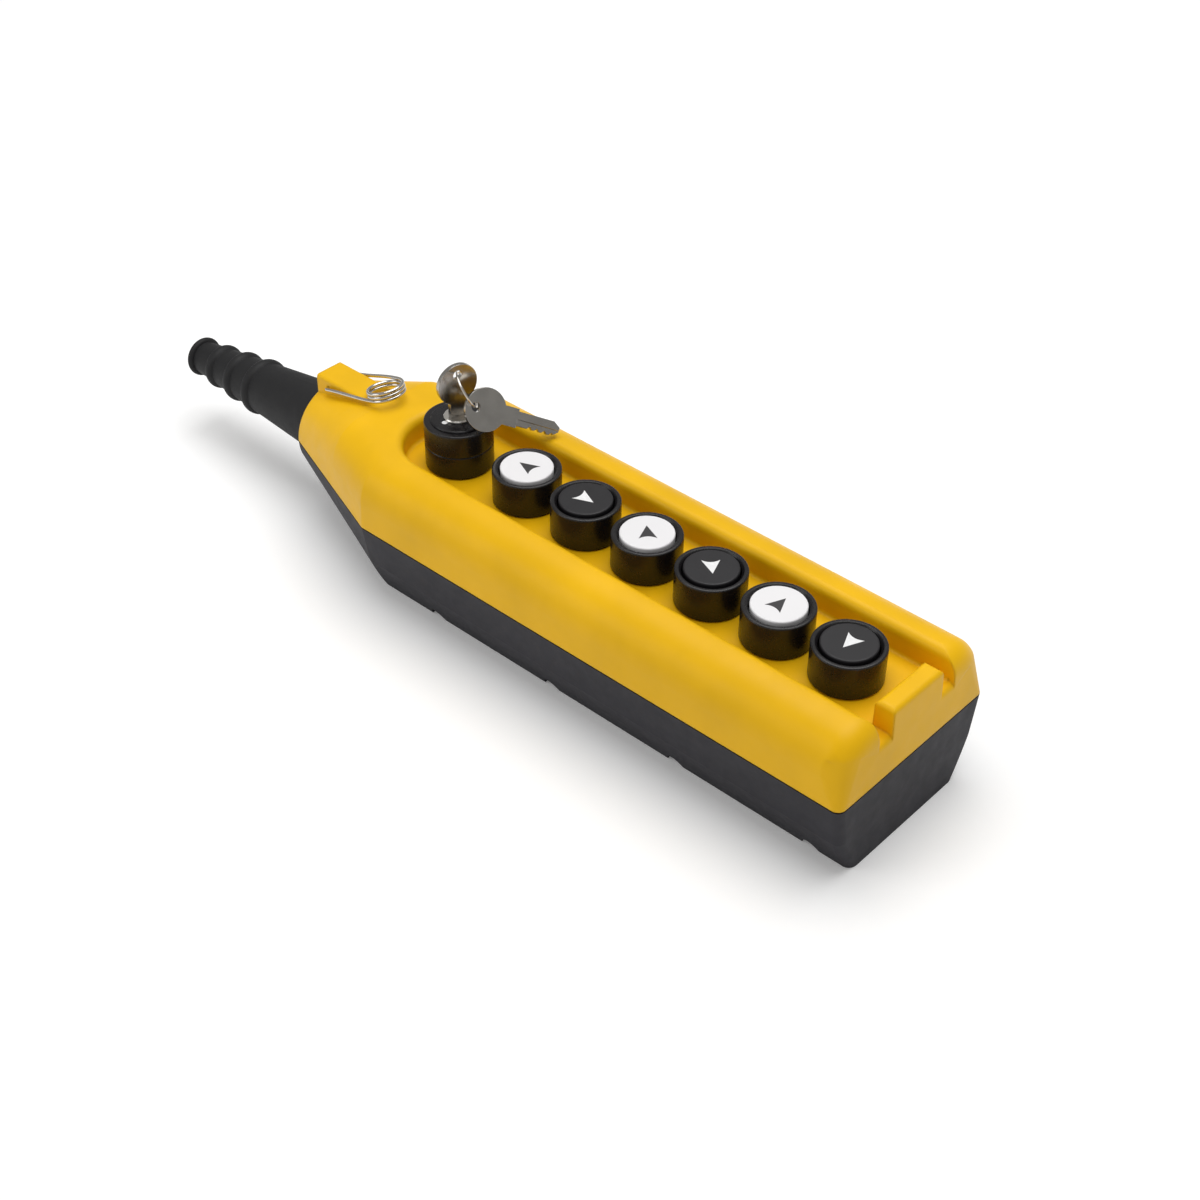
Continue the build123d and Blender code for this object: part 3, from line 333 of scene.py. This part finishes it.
class PENDANT_OT_finishes(bpy.types.Operator):
    """Gives every carried-over part its material"""

    bl_idname = "pendant.finishes"
    bl_label = "Finishes"

    def execute(self, context):
        look = context.scene.pendant_finish
        cover = tuple(look.cover_color)
        base = tuple(look.base_color)
        collar = tuple(look.collar_color)
        metal = tuple(look.metal_color)
        materials = {
            "cover": moulded(
                "cover_plastic", cover, look.cover_roughness,
                grain_scale=2600.0, grain_depth=0.00003, edge=0.0015, shine=0.2),
            "base": moulded(
                "base_plastic", base, 0.58,
                grain_scale=1700.0, grain_depth=0.00008, edge=0.0004, shine=0.35),
            "gasket": moulded(
                "gasket_rubber", (0.012, 0.012, 0.012), 0.8, grain_scale=1500.0, grain_depth=0.00005),
            "steel": plated("zinc_steel", (0.62, 0.62, 0.64), 0.32),
            "boot": moulded(
                "boot_rubber", (0.010, 0.010, 0.011), 0.62,
                grain_scale=1500.0, grain_depth=0.00006, edge=0.0004, shine=0.35),
            "clamp": moulded(
                "clamp_plastic", (0.05, 0.05, 0.05), 0.6, grain_scale=1500.0, grain_depth=0.00005),
            "wire": plated("clip_wire", scaled(metal, 0.85), 0.16, edge=0),
            "collar": moulded(
                "collar_plastic", collar, 0.26,
                grain_scale=2200.0, grain_depth=0.000012, edge=0.0008, shine=0.4),
            "white_cap": moulded(
                "white_cap_plastic", (0.83, 0.82, 0.83), 0.36,
                grain_scale=2400.0, grain_depth=0.00001, edge=0.0003, shine=0.4, tint=0.015),
            "black_cap": moulded(
                "black_cap_plastic", (0.011, 0.010, 0.012), 0.42,
                grain_scale=2400.0, grain_depth=0.00003),
            "stem": moulded(
                "stem_plastic", (0.5, 0.5, 0.48), 0.45, grain_scale=2000.0, grain_depth=0.00002),
            "spring": plated("spring_steel", (0.68, 0.68, 0.68), 0.3, edge=0),
            "contact_block": moulded(
                "block_plastic", (0.08, 0.08, 0.085), 0.5, grain_scale=1800.0, grain_depth=0.00004),
            "brass": plated("terminal_brass", (0.76, 0.62, 0.34), 0.3),
            "lock_nut": moulded(
                "nut_plastic", (0.03, 0.03, 0.03), 0.5, grain_scale=1800.0, grain_depth=0.00004),
            "nickel": plated("bright_nickel", metal, 0.2),
            # The keys' nickel is the metal colour darkened to 0.56: painted shade for the darker
            # surroundings that the keys reflect
            "key": plated(
                "key_nickel_darkened_as_shade", scaled(metal, 0.56), 0.22,
                brush=(1, 1, 6), brush_depth=0.000004, edge=0.0004),
        }
        for name, item in NODES.items():
            material = materials[SLOT_OF_NODE[name]]
            for place in item.material_slots:
                place.material = material
            if not item.material_slots:
                item.data.materials.append(material)
        return {"FINISHED"}


# Cover


def eased_corners(mesh, corners):
    """Draws the blunt end's corners onto one even round from the parting line to the rails."""
    end_x = max(vertex.co.x for vertex in mesh.vertices)
    fade = [
        vertex
        for vertex in mesh.vertices
        if vertex.co.x > end_x - corners.reach
        and abs(vertex.co.y) > corners.start_width
        and corners.fade_low < vertex.co.z < corners.fade_high
    ]
    in_fade = {vertex.index for vertex in fade}
    shape = bmesh.new()
    for vertex in mesh.vertices:
        if vertex.index not in in_fade:
            shape.verts.new(vertex.co)
    bmesh.ops.convex_hull(shape, input=shape.verts[:])
    shape.normal_update()
    form = BVHTree.FromBMesh(shape)
    shape.free()
    moved = 0
    for vertex in fade:
        place, normal, _, _ = form.find_nearest(vertex.co)
        if (vertex.co - place).dot(normal) > EASING_TOLERANCE:
            vertex.co = place
            moved += 1
    if not moved:
        raise RuntimeError("No corner of the cover was found to ease")


class PENDANT_OT_cover(bpy.types.Operator):
    """Adds the cover's visible shell, with the corners of its blunt end eased"""

    bl_idname = "pendant.cover"
    bl_label = "Cover"

    def execute(self, context):
        mesh = NODES["cover"].data.copy()
        mesh.name = "cover_shell"
        mesh.materials.clear()
        eased_corners(mesh, context.scene.pendant_corners)
        shell = placed("cover_shell", mesh)
        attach(shell, "housing")
        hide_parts("cover")
        finish(shell, bpy.data.materials["cover_plastic"])
        return {"FINISHED"}


# Springs


class PENDANT_OT_springs(bpy.types.Operator):
    """Adds each button's visible return spring as its own copy"""

    bl_idname = "pendant.springs"
    bl_label = "Springs"

    def execute(self, context):
        for number in range(1, BUTTON_COUNT + 1):
            node = f"button_spring_{number}"
            spring = placed(f"return_spring_{number}", NODES[node].data.copy())
            spring.data.materials.clear()
            finish(spring, bpy.data.materials["spring_steel"])
            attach(spring, "housing")
            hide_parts(node)
            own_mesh(spring)
        return {"FINISHED"}


# Marks


def outline_piece(name, points, low, thickness):
    """A thin flat piece: a closed outline turned into a face and extruded upward."""
    mesh = bpy.data.meshes.new(name)
    item = placed(name, mesh)
    shape = bmesh.new()
    corners = [shape.verts.new((x, y, low)) for x, y in points]
    face = shape.faces.new(corners)
    raised = bmesh.ops.extrude_face_region(shape, geom=[face])
    top = [part for part in raised["geom"] if isinstance(part, bmesh.types.BMVert)]
    bmesh.ops.translate(shape, vec=(0, 0, thickness), verts=top)
    bmesh.ops.recalc_face_normals(shape, faces=shape.faces[:])
    shape.to_mesh(mesh)
    shape.free()
    return item


def arrow_points(centre, heading, marks):
    """Outline of an arrowhead with a curved back, pointing along the heading."""
    forward = Vector((cos(heading), sin(heading)))
    side = Vector((-forward.y, forward.x))
    half_length = marks.arrow_length / 2
    places = [(half_length, 0.0)]
    for step in range(ARROW_BACK_STEPS + 1):
        across = 1 - 2 * step / ARROW_BACK_STEPS
        hollow = marks.arrow_hollow * (1 - across * across)
        places.append((hollow - half_length, marks.arrow_half_width * across))
    return [centre + forward * along + side * across for along, across in places]


def dot_points(centre, radius):
    """Outline of a round dot."""
    turns = [2 * pi * step / DOT_CORNERS for step in range(DOT_CORNERS)]
    return [(centre.x + radius * cos(turn), centre.y + radius * sin(turn)) for turn in turns]


class PENDANT_OT_marks(bpy.types.Operator):
    """Adds the arrowheads on the caps and the index dot on the key switch"""

    bl_idname = "pendant.marks"
    bl_label = "Marks"

    def execute(self, context):
        marks = context.scene.pendant_marks
        sunk = marks.mark_thickness / 2
        dark = printed("dark_ink", DARK_INK_COLOR)
        light = printed("light_ink", LIGHT_INK_COLOR)
        for number, heading in enumerate(ARROW_HEADINGS, start=1):
            x, y, _, top = middle(f"button_cap_{number}")
            points = arrow_points(Vector((x, y)), radians(heading), marks)
            arrow = outline_piece(f"arrow_{number}", points, top - sunk, marks.mark_thickness)
            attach(arrow, f"button_{number}")
            # Odd caps are white and carry dark arrows
            if number % 2:
                finish(arrow, dark)
            else:
                finish(arrow, light)
        x, y, _, top = middle("key_plate")
        rim = dot_points(Vector((x, y)) + DOT_OFFSET, marks.dot_radius)
        dot = outline_piece("index_dot", rim, top - sunk, marks.mark_thickness)
        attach(dot, "housing")
        finish(dot, light)
        return {"FINISHED"}


# Studio


def floor_paper(glow_strength):
    """White paper that glows a little where the camera sees it, so that it stays white."""
    paper = MaterialNodes("floor_paper")
    fibre = paper.noise(scale=300.0, detail=4.0)
    paper.link(paper.ramp(fibre, PAPER_DARK, PAPER_PALE), paper.shader.inputs["Base Color"])
    paper.shader.inputs["Roughness"].default_value = 0.9
    paper.shader.inputs["Specular IOR Level"].default_value = 0.1
    sight = paper.tree.nodes.new("ShaderNodeLightPath")
    glow = paper.tree.nodes.new("ShaderNodeMath")
    glow.operation = "MULTIPLY"
    glow.inputs[1].default_value = glow_strength
    paper.link(sight.outputs["Is Camera Ray"], glow.inputs[0])
    paper.shader.inputs["Emission Color"].default_value = (1, 1, 1, 1)
    paper.link(glow.outputs["Value"], paper.shader.inputs["Emission Strength"])
    return paper.material


class PENDANT_OT_studio(bpy.types.Operator):
    """Builds the floor, the lights and the camera of the photograph"""

    bl_idname = "pendant.studio"
    bl_label = "Studio"

    def execute(self, context):
        studio = context.scene.pendant_studio
        self.floor(studio.paper_glow)
        self.light("main_light", MAIN_LIGHT_PLACE, MAIN_LIGHT_SIZE, studio.main_power)
        self.light("side_light", SIDE_LIGHT_PLACE, SIDE_LIGHT_SIZE, studio.fill_power)
        self.surroundings(context.scene)
        self.camera(context.scene, studio.lens)
        context.scene.view_settings.view_transform = "Standard"
        return {"FINISHED"}

    def floor(self, glow_strength):
        """A wide sheet of paper just under the part."""
        mesh = bpy.data.meshes.new("floor")
        floor = placed("floor", mesh)
        shape = bmesh.new()
        bmesh.ops.create_grid(shape, x_segments=1, y_segments=1, size=FLOOR_HALF_WIDTH)
        bmesh.ops.translate(shape, vec=(0, 0, cad_low[2] - FLOOR_GAP), verts=shape.verts[:])
        shape.to_mesh(mesh)
        shape.free()
        mesh.materials.append(floor_paper(glow_strength))

    def light(self, name, place, size, power):
        """A soft round light that looks at the part."""
        data = bpy.data.lights.new(name, "AREA")
        data.shape = "DISK"
        data.size = size
        data.energy = power
        item = placed(name, data)
        item.location = place
        aim = Vector(LIGHT_TARGET) - Vector(place)
        item.rotation_euler = aim.to_track_quat("-Z", "Y").to_euler()

    def surroundings(self, scene):
        """A white backdrop for the camera, and a dimmer light from all round for the part."""
        world = bpy.data.worlds.new("studio")
        scene.world = world
        world.use_nodes = True
        tree = world.node_tree
        tree.nodes.clear()
        output = tree.nodes.new("ShaderNodeOutputWorld")
        seen = tree.nodes.new("ShaderNodeBackground")
        seen.inputs["Color"].default_value = BACKDROP_COLOR
        seen.inputs["Strength"].default_value = 1.0
        ambient = tree.nodes.new("ShaderNodeBackground")
        ambient.inputs["Color"].default_value = AMBIENT_COLOR
        ambient.inputs["Strength"].default_value = AMBIENT_STRENGTH
        rays = tree.nodes.new("ShaderNodeLightPath")
        mix = tree.nodes.new("ShaderNodeMixShader")
        tree.links.new(rays.outputs["Is Camera Ray"], mix.inputs["Fac"])
        tree.links.new(ambient.outputs["Background"], mix.inputs[1])
        tree.links.new(seen.outputs["Background"], mix.inputs[2])
        tree.links.new(mix.outputs["Shader"], output.inputs["Surface"])

    def camera(self, scene, lens):
        """The photograph's own camera."""
        data = bpy.data.cameras.new("camera")
        data.sensor_width = SENSOR_WIDTH_MM
        data.lens = lens
        data.clip_start = CLIP_START
        data.clip_end = CLIP_END
        camera = placed("camera", data)
        turn = Matrix((CAMERA_RIGHT, CAMERA_UP, -CAMERA_AHEAD)).transposed().to_4x4()
        camera.matrix_world = Matrix.Translation(CAMERA_PLACE) @ turn
        scene.camera = camera


# Add-on


class PENDANT_PT_panel(bpy.types.Panel):
    """Lists the station's operators and settings"""

    bl_label = "Pendant station"
    bl_idname = "PENDANT_PT_panel"
    bl_space_type = "VIEW_3D"
    bl_region_type = "UI"
    bl_category = "Pendant"

    def draw(self, context):
        for operator in OPERATORS:
            self.layout.operator(operator.bl_idname)
        for name, _ in GROUPS:
            group = getattr(context.scene, name)
            for key in group.__annotations__:
                self.layout.prop(group, key)


OPERATORS = (
    PENDANT_OT_finishes,
    PENDANT_OT_cover,
    PENDANT_OT_springs,
    PENDANT_OT_marks,
    PENDANT_OT_studio,
)
GROUPS = (
    ("pendant_finish", PendantFinish),
    ("pendant_corners", PendantCorners),
    ("pendant_marks", PendantMarks),
    ("pendant_studio", PendantStudio),
)
PANELS = (PENDANT_PT_panel,)


def register():
    for name, group in GROUPS:
        bpy.utils.register_class(group)
        setattr(bpy.types.Scene, name, bpy.props.PointerProperty(type=group))
    for item in OPERATORS + PANELS:
        bpy.utils.register_class(item)


def unregister():
    for item in reversed(OPERATORS + PANELS):
        bpy.utils.unregister_class(item)
    for name, group in reversed(GROUPS):
        delattr(bpy.types.Scene, name)
        bpy.utils.unregister_class(group)


def main():
    register()
    bpy.ops.pendant.finishes()
    bpy.ops.pendant.cover()
    bpy.ops.pendant.springs()
    bpy.ops.pendant.marks()
    bpy.ops.pendant.studio()


if __name__ == "__main__":
    main()
